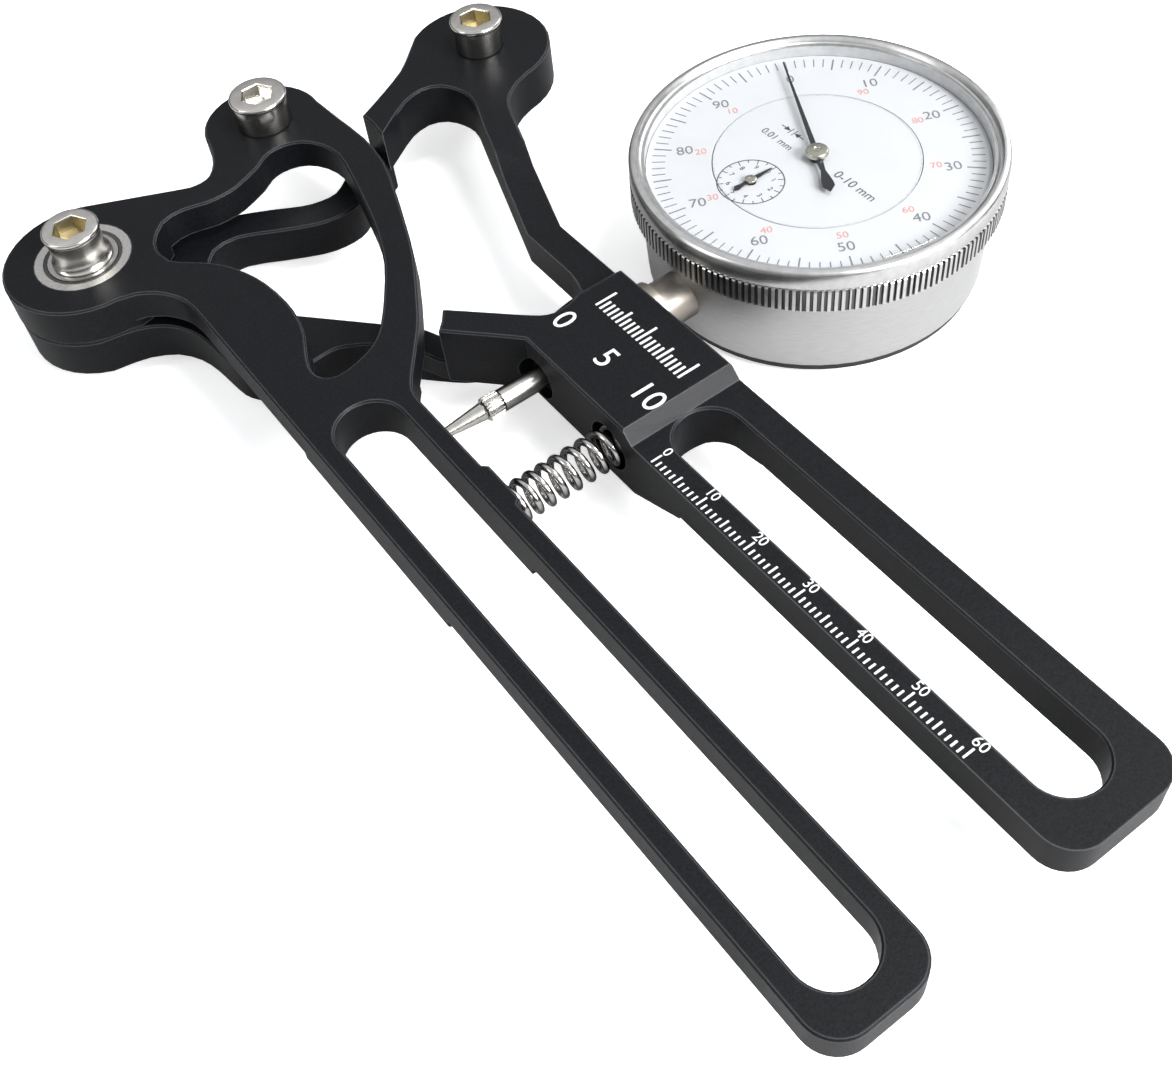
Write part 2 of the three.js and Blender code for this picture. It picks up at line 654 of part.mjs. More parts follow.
function makeBigHand() {
  const top = FACE_TOP + HUB.bottom - 0.03;
  const hand = plate(handShape(24.8, 9.3, 1, 1), top - 0.2, top);
  const bore = disc(ARBOR_RADIUS + FIT, 0, 30, 24);
  return atDial(hand.subtract(bore).rotate([0, 0, BIG_HAND_ANGLE]));
}

function makeSmallHand() {
  const hand = plate(handShape(4.3, 3.4, 0.75, 0.5), FACE_TOP + 0.25, FACE_TOP + 0.4);
  return atDial(hand.subtract(disc(ARBOR_RADIUS + FIT, 0, 30, 24)), SMALL.dx, SMALL.dy);
}

function makeBigHub() {
  const [low, high] = [FACE_TOP + HUB.bottom, FACE_TOP + HUB.top];
  const cap = turned([[0, low], [HUB.radius, low], [HUB.radius, high - 0.15], [HUB.radius - 0.2,
    high], [0, high]]);
  return atDial(cap.subtract(disc(ARBOR_RADIUS + FIT, 0, low + 0.33, 24)));
}

function makeSmallHub() {
  const body = ring(ARBOR_RADIUS + FIT, 0.95, FACE_TOP + 0.42, FACE_TOP + 0.75, 32);
  return atDial(body, SMALL.dx, SMALL.dy);
}

// ---- assembly ----

const FINISHES = {
  anodised: { color: 0x26282b, roughness: 0.5, metalness: 0.6 },
  steel: { color: 0xc9c7c0, roughness: 0.25, metalness: 1 },
  satin: { color: 0xc4c6c8, roughness: 0.4, metalness: 1 },
  dark: { color: 0x1a1a1c, roughness: 0.6, metalness: 0.1 },
  white: { color: 0xf2f2f0, roughness: 0.6, metalness: 0 },
  glass: { color: 0xe8f0f2, roughness: 0.05, metalness: 0, transparent: true, opacity: 0.2 },
  brass: { color: 0xb89a55, roughness: 0.35, metalness: 1 },
};

const root = new THREE.Group();

function place(name, finish, solid) {
  const mesh = new THREE.Mesh(toGeometry(solid), new THREE.MeshStandardMaterial(FINISHES[finish]));
  mesh.name = name;
  root.add(mesh);
}

place("frame_plate", "anodised", makeFrame());
place("lever_plate", "anodised", makeLever());
place("pivot_post", "steel", makePivotPost());
place("pivot_spacer", "steel", ring(THREAD_RADIUS + FIT, 4.9, LAYER_SPLIT + 0.02, BEARING_BOTTOM - 0.02));
place("bearing_inner_race", "steel", turned(raceProfile(BEARING.bore, BEARING.innerRace, 1)));
place("bearing_outer_race", "steel", turned(raceProfile(BEARING.outer, BEARING.outerRace, -1)));
place("bearing_ball_ring", "steel", makeBallRing());
place("bearing_shield_top", "satin", makeShield(TOP - 0.1));
place("bearing_shield_bottom", "satin", makeShield(BEARING_BOTTOM + 0.6));
place("middle_post", "steel", makePost(MIDDLE_POST, 9).translate([MIDDLE_POST.x, MIDDLE_POST.y, 0]));
place("right_post", "steel", makePost(RIGHT_POST, 6.2).translate([RIGHT_POST.x, RIGHT_POST.y, 0]));
place("return_spring", "steel", makeSpring());
place("contact_point", "steel", makeTip());
place("knurled_collar", "steel", makeCollar());
place("plunger_spindle", "steel", makeSpindle());
place("dial_stem", "steel", makeStem());
place("stem_sleeve", "steel", makeStemSleeve());
place("stem_set_screw", "dark", turned([[0, 0.3], [1.5, 0.3], [2, 0.7], [2, 2.4], [1.4, 2.9], [0,
  2.9]], 24)
  .translate([54, STEM_Y, 0]));
place("dial_case", "satin", makeCase());
place("back_cover", "dark", makeBackCover());
coverScrewSpots().forEach((spot, i) => place("cover_screw_" + (i + 1), "steel", makeCoverScrew(spot)));
place("movement_plate", "brass", makeUpperPlate());
place("rack_arbor", "brass", makeRackArbor());
place("center_arbor", "brass", makeCenterArbor());
place("backlash_arbor", "brass", makeBacklashArbor());
place("inner_dial_face", "white", makeInnerFace());
place("outer_dial_ring", "white", makeDialRing());
place("small_hand", "dark", makeSmallHand());
place("small_hub_cap", "satin", makeSmallHub());
place("big_hand", "dark", makeBigHand());
place("big_hub_cap", "satin", makeBigHub());
place("bezel", "satin", makeBezel());
place("crystal", "glass", makeCrystal());

export default root;
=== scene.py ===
import json
import math

import bmesh
import bpy
from mathutils import Euler, Matrix, Vector


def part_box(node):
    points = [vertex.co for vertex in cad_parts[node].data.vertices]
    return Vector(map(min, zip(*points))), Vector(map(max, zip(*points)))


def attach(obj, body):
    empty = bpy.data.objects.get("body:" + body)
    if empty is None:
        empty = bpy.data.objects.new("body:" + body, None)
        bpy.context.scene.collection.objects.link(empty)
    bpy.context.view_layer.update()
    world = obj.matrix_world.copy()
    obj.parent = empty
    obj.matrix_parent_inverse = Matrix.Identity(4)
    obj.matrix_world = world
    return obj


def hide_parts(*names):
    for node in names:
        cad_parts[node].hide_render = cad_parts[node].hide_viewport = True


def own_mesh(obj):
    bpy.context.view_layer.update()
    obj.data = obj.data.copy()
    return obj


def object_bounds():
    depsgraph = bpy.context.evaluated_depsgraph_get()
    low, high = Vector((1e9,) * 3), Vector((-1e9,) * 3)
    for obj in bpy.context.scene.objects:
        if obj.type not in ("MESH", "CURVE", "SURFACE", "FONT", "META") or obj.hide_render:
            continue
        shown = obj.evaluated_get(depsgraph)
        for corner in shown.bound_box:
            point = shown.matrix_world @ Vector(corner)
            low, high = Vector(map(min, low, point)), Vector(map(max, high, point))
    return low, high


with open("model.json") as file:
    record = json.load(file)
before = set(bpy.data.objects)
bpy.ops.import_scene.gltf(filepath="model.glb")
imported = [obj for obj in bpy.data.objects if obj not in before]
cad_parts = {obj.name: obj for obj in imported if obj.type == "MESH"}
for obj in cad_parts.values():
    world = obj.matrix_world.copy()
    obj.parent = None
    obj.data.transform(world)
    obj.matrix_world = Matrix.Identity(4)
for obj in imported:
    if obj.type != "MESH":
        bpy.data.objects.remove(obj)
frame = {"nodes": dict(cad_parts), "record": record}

MM = 0.001
WELD = 0.002
SMOOTH_ANGLE = 32.0
CAD_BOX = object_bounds()


def box(node):
    """Lowest and highest corner of a CAD node in millimetres."""
    low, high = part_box(node)
    return low / MM, high / MM


def width(node):
    """Extent of a CAD node along X."""
    low, high = box(node)
    return high.x - low.x


def middle(node):
    """Centre of a CAD node's box."""
    low, high = box(node)
    return (low + high) / 2


TOP = box("lever_plate")[1].z
DIAL = middle("bezel")
FACE_TOP = box("outer_dial_ring")[1].z
AXIS_Z = middle("dial_stem").z
STEM_Y = middle("dial_stem").y

# ---------------------------------------------------------------- materials

STEEL = 1.0
PAINT = 0.0


def link(tree, a, b):
    """Joins an output socket to an input socket."""
    tree.links.new(a, b)


def new_material(name):
    """Material with nodes, and its node tree."""
    mat = bpy.data.materials.new(name)
    mat.use_nodes = True
    return mat, mat.node_tree


def noise_texture(tree, source, scale, detail=2.0):
    """Noise value of 0 to 1 over the source's coordinates."""
    noise = tree.nodes.new("ShaderNodeTexNoise")
    noise.inputs["Scale"].default_value = scale
    noise.inputs["Detail"].default_value = detail
    link(tree, source, noise.inputs["Vector"])
    return noise.outputs["Fac"]


def spread_over(tree, value, low, high):
    """Spreads a value of 0 to 1 over the range low to high."""
    level = tree.nodes.new("ShaderNodeMapRange")
    level.inputs["To Min"].default_value = low
    level.inputs["To Max"].default_value = high
    link(tree, value, level.inputs["Value"])
    return level.outputs["Result"]


def darken_rim(tree, tone, rim, rim_span):
    """Painted dark reflection: darker base colour where the surface turns away, standing in for the dim
    room that polished metal reflects.
    """
    weight = tree.nodes.new("ShaderNodeLayerWeight")
    weight.inputs["Blend"].default_value = 0.5
    curve = tree.nodes.new("ShaderNodeMapRange")
    curve.interpolation_type = "SMOOTHSTEP"
    curve.inputs["From Min"].default_value = rim_span[0]
    curve.inputs["From Max"].default_value = rim_span[1]
    curve.inputs["To Min"].default_value = 1.0
    curve.inputs["To Max"].default_value = 1.0 - rim
    link(tree, weight.outputs["Facing"], curve.inputs["Value"])
    scale = tree.nodes.new("ShaderNodeVectorMath")
    scale.operation = "SCALE"
    link(tree, tone, scale.inputs[0])
    link(tree, curve.outputs["Result"], scale.inputs["Scale"])
    return scale.outputs["Vector"]


def finish_material(name, color, metallic, roughness, grain=300.0, spread=0.06, shade=0.08,
                    bump=0.0, bump_scale=6000.0, stretch=None, specular=0.5, rim=0.0,
                    rim_span=(0.35, 0.85)):
    """Principled surface whose colour and roughness drift a little, with an optional fine relief and an
    optional painted dark reflection towards grazing angles (rim).
    """
    mat, tree = new_material(name)
    bsdf = tree.nodes["Principled BSDF"]
    bsdf.inputs["Metallic"].default_value = metallic
    bsdf.inputs["Specular IOR Level"].default_value = specular
    coords = tree.nodes.new("ShaderNodeTexCoord")
    source = coords.outputs["Object"]
    if stretch:
        mapping = tree.nodes.new("ShaderNodeMapping")
        mapping.inputs["Scale"].default_value = stretch
        link(tree, source, mapping.inputs["Vector"])
        source = mapping.outputs["Vector"]
    noise = noise_texture(tree, source, grain, 4.0)
    rough = spread_over(tree, noise, max(0.02, roughness - spread), roughness + spread)
    link(tree, rough, bsdf.inputs["Roughness"])
    ramp = tree.nodes.new("ShaderNodeValToRGB")
    dark = [c * (1 - shade) for c in color]
    light = [min(1.0, c * (1 + shade)) for c in color]
    ramp.color_ramp.elements[0].color = (*dark, 1)
    ramp.color_ramp.elements[1].color = (*light, 1)
    ramp.color_ramp.elements[0].position = 0.3
    ramp.color_ramp.elements[1].position = 0.7
    link(tree, noise, ramp.inputs["Fac"])
    tone = ramp.outputs["Color"]
    # painted dark reflection: the base colour darkens where the surface turns away from the view
    if rim:
        tone = darken_rim(tree, tone, rim, rim_span)
    link(tree, tone, bsdf.inputs["Base Color"])
    if bump:
        relief = tree.nodes.new("ShaderNodeBump")
        relief.inputs["Strength"].default_value = bump
        relief.inputs["Distance"].default_value = 0.00003
        link(tree, noise_texture(tree, source, bump_scale, 3.0), relief.inputs["Height"])
        link(tree, relief.outputs["Normal"], bsdf.inputs["Normal"])
    return mat


def lighten_edges(mat, radius, color):
    """Painted highlight: a thin lighter line along the corners of the anodised plates, convex and concave,
    where the chamfers catch the light.
    """
    tree = mat.node_tree
    bsdf = tree.nodes["Principled BSDF"]
    base = bsdf.inputs["Base Color"].links[0].from_socket
    bevel = tree.nodes.new("ShaderNodeBevel")
    bevel.samples = 6
    bevel.inputs["Radius"].default_value = radius
    geometry = tree.nodes.new("ShaderNodeNewGeometry")
    facing = tree.nodes.new("ShaderNodeVectorMath")
    facing.operation = "DOT_PRODUCT"
    link(tree, bevel.outputs["Normal"], facing.inputs[0])
    link(tree, geometry.outputs["Normal"], facing.inputs[1])
    mask = tree.nodes.new("ShaderNodeMapRange")
    mask.inputs["From Min"].default_value = 0.995
    mask.inputs["From Max"].default_value = 0.93
    link(tree, facing.outputs["Value"], mask.inputs["Value"])
    # the painted highlight colour replaces the base colour along the edges
    mix = tree.nodes.new("ShaderNodeMix")
    mix.data_type = "RGBA"
    link(tree, mask.outputs["Result"], mix.inputs["Factor"])
    link(tree, base, mix.inputs["A"])
    mix.inputs["B"].default_value = (*color, 1)
    link(tree, mix.outputs["Result"], bsdf.inputs["Base Color"])


def clear_material(name):
    """Clear flat crystal: transparent, with a Fresnel gloss that varies very slightly."""
    mat, tree = new_material(name)
    tree.nodes.clear()
    out = tree.nodes.new("ShaderNodeOutputMaterial")
    mix = tree.nodes.new("ShaderNodeMixShader")
    clear = tree.nodes.new("ShaderNodeBsdfTransparent")
    clear.inputs["Color"].default_value = (0.985, 0.99, 0.99, 1)
    gloss = tree.nodes.new("ShaderNodeBsdfGlossy")
    coords = tree.nodes.new("ShaderNodeTexCoord")
    noise = noise_texture(tree, coords.outputs["Object"], 60.0)
    link(tree, spread_over(tree, noise, 0.01, 0.03), gloss.inputs["Roughness"])
    fresnel = tree.nodes.new("ShaderNodeFresnel")
    fresnel.inputs["IOR"].default_value = 1.35
    side = tree.nodes.new("ShaderNodeNewGeometry")
    front = tree.nodes.new("ShaderNodeMath")
    front.operation = "SUBTRACT"
    front.inputs[0].default_value = 1.0
    link(tree, side.outputs["Backfacing"], front.inputs[1])
    share = tree.nodes.new("ShaderNodeMath")
    share.operation = "MULTIPLY"
    link(tree, front.outputs["Value"], share.inputs[0])
    link(tree, fresnel.outputs["Fac"], share.inputs[1])
    link(tree, share.outputs["Value"], mix.inputs["Fac"])
    link(tree, clear.outputs["BSDF"], mix.inputs[1])
    link(tree, gloss.outputs["BSDF"], mix.inputs[2])
    link(tree, mix.outputs["Shader"], out.inputs["Surface"])
    return mat


# Name: (colour, metallic, roughness, other settings of finish_material)
# rim and rim_span set a painted dark reflection: the base colour darkens towards grazing angles
FINISHES = {
    "anodised": ((0.0052, 0.0057, 0.0070), PAINT, 0.42,
                 dict(grain=3200, spread=0.07, shade=0.5, bump=0.8, bump_scale=4200, specular=0.16)),
    "polished_steel": ((0.70, 0.68, 0.64), STEEL, 0.22, dict(grain=500, spread=0.05, rim=0.6)),
    "spring_steel": ((0.62, 0.60, 0.585), STEEL, 0.2,
                     dict(grain=900, spread=0.05, rim=0.97, rim_span=(0.15, 0.62))),
    "socket_steel": ((0.46, 0.41, 0.28), STEEL, 0.36, dict(grain=700, spread=0.05)),
    "ground_steel": ((0.62, 0.61, 0.58), STEEL, 0.3,
                     dict(grain=800, spread=0.03, rim=0.85, rim_span=(0.25, 0.75))),
    "sleeve_steel": ((0.42, 0.385, 0.34), STEEL, 0.42, dict(grain=300, spread=0.02, shade=0.04, rim=0.5)),
    "race_steel": ((0.62, 0.61, 0.59), STEEL, 0.42, dict(grain=2500, spread=0.08, shade=0.14)),
    "shield_steel": ((0.10, 0.10, 0.10), 0.8, 0.5, dict(grain=1500)),
    "black_screw": ((0.02, 0.02, 0.021), 0.6, 0.4, {}),
    "case_aluminium": ((0.54, 0.54, 0.543), STEEL, 0.42, dict(grain=500, spread=0.05, stretch=(1, 1, 14))),
    "bezel_aluminium": ((0.66, 0.66, 0.655), STEEL, 0.3, dict(grain=700, spread=0.05, rim=0.3)),
    "bezel_wall": ((0.56, 0.56, 0.565), 0.3, 0.6, dict(grain=700, spread=0.05)),
    # painted shade: the grip's grooves get a far darker tone than the ribs, for the shade that falls in
    # them
    "bezel_groove_shade": ((0.17, 0.17, 0.168), STEEL, 0.4, dict(grain=700, spread=0.05)),
    "black_cover": ((0.012, 0.012, 0.013), PAINT, 0.45, {}),
    "brass": ((0.62, 0.45, 0.20), STEEL, 0.28, {}),
    "dial_white": ((0.56, 0.565, 0.58), PAINT, 0.55, dict(grain=200, shade=0.015)),
    "hand_black": ((0.015, 0.015, 0.018), 0.3, 0.35, dict(grain=900)),
    "hub_steel": ((0.50, 0.49, 0.42), STEEL, 0.28, dict(grain=900)),
}
MATS = {name: finish_material(name, *look, **more) for name, (*look, more) in FINISHES.items()}
MATS["crystal_clear"] = clear_material("crystal_clear")
EDGE_HIGHLIGHT_RADIUS = 0.00035
# painted highlight along the edges of the anodised plates
lighten_edges(MATS["anodised"], EDGE_HIGHLIGHT_RADIUS, (0.070, 0.074, 0.080))

INK_COLORS = {
    "black": ((0.07, 0.072, 0.08), 0.6, 0.2),
    "grey": ((0.17, 0.175, 0.19), 0.6, 0.15),
    "pale": ((0.50, 0.51, 0.53), 0.6, 0.1),
    "red": ((0.60, 0.27, 0.25), 0.6, 0.12),
    "white": ((0.80, 0.80, 0.79), 0.55, 0.05),
}
INK = {name: finish_material("ink_" + name, color, PAINT, roughness, grain=1500, shade=shade)
       for name, (color, roughness, shade) in INK_COLORS.items()}

# ---------------------------------------------------------------- mesh helpers


def settle(bm, name, body, mat, stands_for=(), angle=SMOOTH_ANGLE):
    """Turns a bmesh in millimetres into a finished piece that rides on a body."""
    bmesh.ops.recalc_face_normals(bm, faces=bm.faces)
    limit = math.radians(angle)
    for face in bm.faces:
        face.smooth = True
    for edge in bm.edges:
        edge.smooth = len(edge.link_faces) == 2 and edge.calc_face_angle(0) < limit
    mesh = bpy.data.meshes.new(name)
    bm.to_mesh(mesh)
    bm.free()
    mesh.transform(Matrix.Scale(MM, 4))
    for layer in [a.name for a in mesh.attributes if a.name == "custom_normal"]:
        mesh.attributes.remove(mesh.attributes[layer])
    mesh.materials.clear()
    mesh.materials.append(mat)
    piece = bpy.data.objects.new(name, mesh)
    bpy.context.scene.collection.objects.link(piece)
    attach(piece, body)
    if stands_for:
        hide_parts(*stands_for)
    return piece


def copy_of(node, body, slot, angle=SMOOTH_ANGLE, look=None):
    """The CAD node again with welded corners, so that its curved walls shade smoothly."""
    bm = bmesh.new()
    bm.from_mesh(frame["nodes"][node].data)
    bmesh.ops.transform(bm, matrix=Matrix.Scale(1 / MM, 4), verts=bm.verts)
    bmesh.ops.remove_doubles(bm, verts=bm.verts, dist=WELD)
    return settle(bm, node + "_look", body, MATS[look or slot], (node,), angle)


def step_angle(i, count):
    """Angle of step i out of count equal steps round a circle."""
    return 2 * math.pi * i / count


def turned(rings, centre, segments=96, along="Z", closed=False, bm=None):
    """Rings of (radius, height) joined into a surface. A radius may be a function of the angle."""
    bm = bm or bmesh.new()
    loops = []
    for radius, height in rings:
        if not callable(radius) and radius == 0:
            spots = [(0.0, 0.0)]
        else:
            spots = []
            for i in range(segments):
                a = step_angle(i, segments)
                r = radius(a) if callable(radius) else radius
                spots.append((r * math.cos(a), r * math.sin(a)))
        verts = []
        for u, v in spots:
            p = (u, v, height) if along == "Z" else (height, u, v)
            verts.append(bm.verts.new(Vector(p) + Vector(centre)))
        loops.append(verts)
    pairs = list(zip(loops, loops[1:]))
    if closed:
        pairs.append((loops[-1], loops[0]))
    for low, high in pairs:
        for i in range(segments):
            j = (i + 1) % segments
            quad = [low[i % len(low)], low[j % len(low)], high[j % len(high)], high[i % len(high)]]
            corners = list(dict.fromkeys(quad))
            if len(corners) > 2:
                bm.faces.new(corners)
    return bm


def slab(bm, points, low, high):
    """Closed prism over a plane outline."""
    bottom = [bm.verts.new((x, y, low)) for x, y in points]
    top = [bm.verts.new((x, y, high)) for x, y in points]
    bm.faces.new(bottom[::-1])
    bm.faces.new(top)
    count = len(points)
    for i in range(count):
        j = (i + 1) % count
        bm.faces.new([bottom[i], bottom[j], top[j], top[i]])
    return bm


def hexagon(across):
    """Radius function of a hexagon with this distance across its flats."""
    def radius(a):
        return across / 2 / math.cos((a % (math.pi / 3)) - math.pi / 6)
    return radius


# ---------------------------------------------------------------- pieces shaped as in the CAD

SLOT_OF = {part["node"]: part["material_slot"] for part in frame["record"]["subparts"]}

copy_of("frame_plate", "frame", "anodised")
copy_of("lever_plate", "lever", "anodised")
copy_of("dial_stem", "frame", "ground_steel", look="sleeve_steel")
copy_of("stem_sleeve", "frame", "ground_steel", look="sleeve_steel")
for cad in ("pivot_spacer", "stem_set_screw", "movement_plate", "cover_screw_1", "cover_screw_2",
            "cover_screw_3", "cover_screw_4", "inner_dial_face"):
    copy_of(cad, "frame", SLOT_OF[cad])
copy_of("outer_dial_ring", "bezel_set", "dial_white")
copy_of("bearing_inner_race", "frame", "ground_steel")
copy_of("bearing_outer_race", "lever", "ground_steel", look="race_steel")
copy_of("bearing_shield_top", "lever", "ground_steel", look="shield_steel")
copy_of("bearing_shield_bottom", "lever", "ground_steel", look="shield_steel")
copy_of("bearing_ball_ring", "ball_ring", "ground_steel", 60)
copy_of("rack_arbor", "small_hand_arbor", "brass")
copy_of("center_arbor", "big_hand_arbor", "brass")
copy_of("backlash_arbor", "backlash_gear", "brass")

# ---------------------------------------------------------------- posts

THREAD = 2.98
JOURNAL = 3.97
SHOULDER = 5.0
PIVOT_LIP = 4.74
SOCKET = 5.0
SOCKET_DEPTH = 2.6


def post_foot(node, shaft, bottom):
    """Rings from the end of the thread to the slim body above the plate."""
    rings = [(0, bottom), (THREAD - 0.5, bottom), (THREAD, bottom + 0.5)]
    if node != "pivot_post":
        return rings + [
            (THREAD, TOP + 0.05), (shaft - 0.2, TOP + 0.05), (shaft - 0.05, TOP + 0.14), (shaft, TOP + 0.3),
        ]
    seat = box("bearing_inner_race")[0].z
    return rings + [
        (THREAD, seat), (JOURNAL, seat), (JOURNAL, TOP + 0.1), (SHOULDER - 0.1, TOP + 0.1),
        (SHOULDER, TOP + 0.2), (SHOULDER, TOP + 0.42), (SHOULDER - 0.1, TOP + 0.52), (4.72, TOP + 0.78),
        (shaft + 0.12, TOP + 1.3), (shaft - 0.02, TOP + 2.0), (shaft - 0.03, TOP + 2.7), (shaft, TOP + 3.8),
    ]


def post(node, body, shaft, lining="socket_steel"):
    """Cap-screw post: a rounded lip, a hexagon socket, a slimmer body and a threaded shank."""
    low, high = box(node)
    centre = middle(node)
    top = high.z
    lip = PIVOT_LIP if node == "pivot_post" else width(node) / 2
    rings = post_foot(node, shaft, low.z) + [
        (shaft + 0.03, top - 1.12), (lip - 0.24, top - 1.02), (lip - 0.06, top - 0.94), (lip, top - 0.8),
        (lip, top - 0.42), (lip - 0.05, top - 0.24), (lip - 0.16, top - 0.1), (lip - 0.32, top - 0.02),
        (lip - 0.5, top), (hexagon(SOCKET + 0.35), top), (hexagon(SOCKET + 0.12), top - 0.1),
        (hexagon(SOCKET), top - 0.3),
    ]
    bm = turned(rings, (centre.x, centre.y, 0), 96)
    settle(bm, node + "_look", body, MATS["polished_steel"], (node,), 28)
    deep = top - SOCKET_DEPTH
    well = [(hexagon(SOCKET), top - 0.3), (hexagon(SOCKET), deep), (1.3, deep - 0.05), (0, deep - 0.5)]
    settle(turned(well, (centre.x, centre.y, 0), 96), node + "_socket", body, MATS[lining],
           (), 28)


post("pivot_post", "frame", 4.4)
post("right_post", "frame", 4.27)
post("middle_post", "lever", 4.8, "polished_steel")

# ---------------------------------------------------------------- spring and plunger

WIRE = 0.58
COILS = 11.0


def spring():
    """Compression spring along X; the real one shortens as the lever closes, this one keeps the length of
    its CAD node.
    """
    low, high = box("return_spring")
    radius = (high.y - low.y) / 2 - WIRE
    steps, sides = 440, 14
    start, end = low.x + WIRE + 0.02, high.x - WIRE - 0.02
    rise = (end - start) / (2 * math.pi * COILS)
    centre = Vector((0, (low.y + high.y) / 2, (low.z + high.z) / 2))
    bm = bmesh.new()
    previous = None
    for i in range(steps + 1):
        t = i / steps
        a = 2 * math.pi * COILS * t
        # the coils lie a little closer towards both ends
        x = start + (end - start) * (t - 0.012 * math.sin(2 * math.pi * t))
        spot = Vector((x, radius * math.cos(a), radius * math.sin(a))) + centre
        tangent = Vector((rise, -radius * math.sin(a), radius * math.cos(a))).normalized()
        out = Vector((0, math.cos(a), math.sin(a)))
        side = tangent.cross(out).normalized()
        ring = []
        for k in range(sides):
            b = step_angle(k, sides)
            ring.append(bm.verts.new(spot + out * WIRE * math.cos(b) + side * WIRE * math.sin(b)))
        if previous:
            for k in range(sides):
                m = (k + 1) % sides
                bm.faces.new([previous[k], previous[m], ring[m], ring[k]])
        else:
            bm.faces.new(ring)
        previous = ring
    bm.faces.new(previous[::-1])
    piece = settle(bm, "return_spring_look", "frame", MATS["spring_steel"],
                   ("return_spring",), 60)
    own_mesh(piece)


spring()


def on_plunger(node, rings, segments, closed, angle):
    """Turned steel piece on the plunger's axis, from the low end of its CAD node."""
    bm = turned(rings, (box(node)[0].x, STEM_Y, AXIS_Z), segments, "X", closed)
    settle(bm, node + "_look", "plunger", MATS["polished_steel"], (node,), angle)


TIP_RINGS = [
    (0, 0), (0.3, 0.03), (0.5, 0.12), (0.62, 0.35), (0.67, 0.6), (1.4, 8.25), (1.44, 8.4),
    (1.36, 8.62), (1.3, 8.7), (0, 8.7),
]
on_plunger("contact_point", TIP_RINGS, 72, False, 24)

KNURL_TEETH = 20
COLLAR_BORE = 1.2


def knurl(outer, depth):
    """Radius function with straight grooves along the axis."""
    def radius(a):
        wave = abs(((a * KNURL_TEETH / (2 * math.pi)) % 1) - 0.5) * 2
        return outer - depth * min(1, max(0, (wave - 0.35) / 0.3))
    return radius


def collar():
    """Knurled ring with rounded ends and a plain bore."""
    low, high = box("knurled_collar")
    span = high.x - low.x
    outer = (high.z - low.z) / 2
    soft = knurl(outer - 0.12, 0.1)
    full = knurl(outer - 0.02, 0.2)
    rings = [
        (COLLAR_BORE, 0.0), (outer - 0.3, 0.0), (soft, 0.16), (full, 0.34), (full, span - 0.34),
        (soft, span - 0.16), (outer - 0.3, span), (COLLAR_BORE, span),
    ]
    on_plunger("knurled_collar", rings, 240, True, 40)


collar()
copy_of("plunger_spindle", "plunger", "ground_steel")

# ---------------------------------------------------------------- dial housing

copy_of("dial_case", "frame", "case_aluminium", 40)
copy_of("back_cover", "frame", "black_cover", 40)

RIBS = 180
GRIP = (0.3, 4.4)
FIT_GAP = 0.05
WALL_LOOK = 1
GROOVE_SHADE_LOOK = 2


def ribbed(base, depth):
    """Radius function of the bezel's grip, with square grooves along the axis."""
    def radius(a):
        wave = (a * RIBS / (2 * math.pi)) % 1
        groove = 1 if 0.25 < wave < 0.75 else 0
        return base - depth * groove
    return radius


def bezel():
    """Bezel with its grip, rounded lip and the seat of the crystal."""
    low, high = box("bezel")
    radius = width("bezel") / 2
    lip = width("crystal") / 2 + 2 * FIT_GAP
    inner = width("outer_dial_ring") / 2 + 2 * FIT_GAP
    seat = box("dial_case")[1].x - DIAL.x + FIT_GAP
    under_glass = box("crystal")[0].z
    b, t = low.z, high.z
    rings = [
        (seat, b), (radius - 0.7, b), (radius - 0.5, b + 0.1), (ribbed(radius - 0.2, 0.15), b + 0.32),
        (ribbed(radius, 0.42), b + 0.5), (ribbed(radius, 0.42), b + 4.25),
        (ribbed(radius - 0.12, 0.2), b + 4.42), (radius - 0.45, b + 4.55), (radius - 0.42, b + 4.68),
        (radius - 0.12, b + 4.8), (radius - 0.04, b + 5.0), (radius - 0.04, t - 0.75),
        (radius - 0.16, t - 0.4), (radius - 0.42, t - 0.13), (radius - 0.8, t), (radius - 1.25, t - 0.03),
        (lip + 0.42, t - 0.4), (lip + 0.3, t - 0.62), (lip, t - 0.8), (lip, under_glass - FIT_GAP),
        (inner, under_glass - FIT_GAP), (inner, b + 0.62), (seat, b + 0.62),
    ]
    bm = turned(rings, (DIAL.x, DIAL.y, 0), RIBS * 8, closed=True)
    piece = settle(bm, "bezel_look", "bezel_set", MATS["bezel_aluminium"], ("bezel",), 26)
    piece.data.materials.append(MATS["bezel_wall"])
    # material of the painted shade in the grip's grooves
    piece.data.materials.append(MATS["bezel_groove_shade"])
    for face in piece.data.polygons:
        spot = face.center / MM - DIAL
        height = face.center.z / MM
        if spot.xy.length < inner + 0.2 and height < under_glass:
            face.material_index = WALL_LOOK
        # groove faces of the grip take the painted shade
        elif b + GRIP[0] < height < b + GRIP[1] and inner + 1 < spot.xy.length < radius - 0.2:
            face.material_index = GROOVE_SHADE_LOOK


bezel()


def crystal():
    """Flat crystal with a small chamfer."""
    low, high = box("crystal")
    radius = width("crystal") / 2
    chamfer = 0.15
    rings = [
        (0, low.z), (radius, low.z), (radius, high.z - chamfer), (radius - chamfer, high.z), (0, high.z),
    ]
    settle(turned(rings, (DIAL.x, DIAL.y, 0), 192), "crystal_look", "bezel_set", MATS["crystal_clear"],
           ("crystal",), 20)


crystal()

# ---------------------------------------------------------------- print on the dial

INK_LIFT = 0.012
INK_DEEP = 0.02


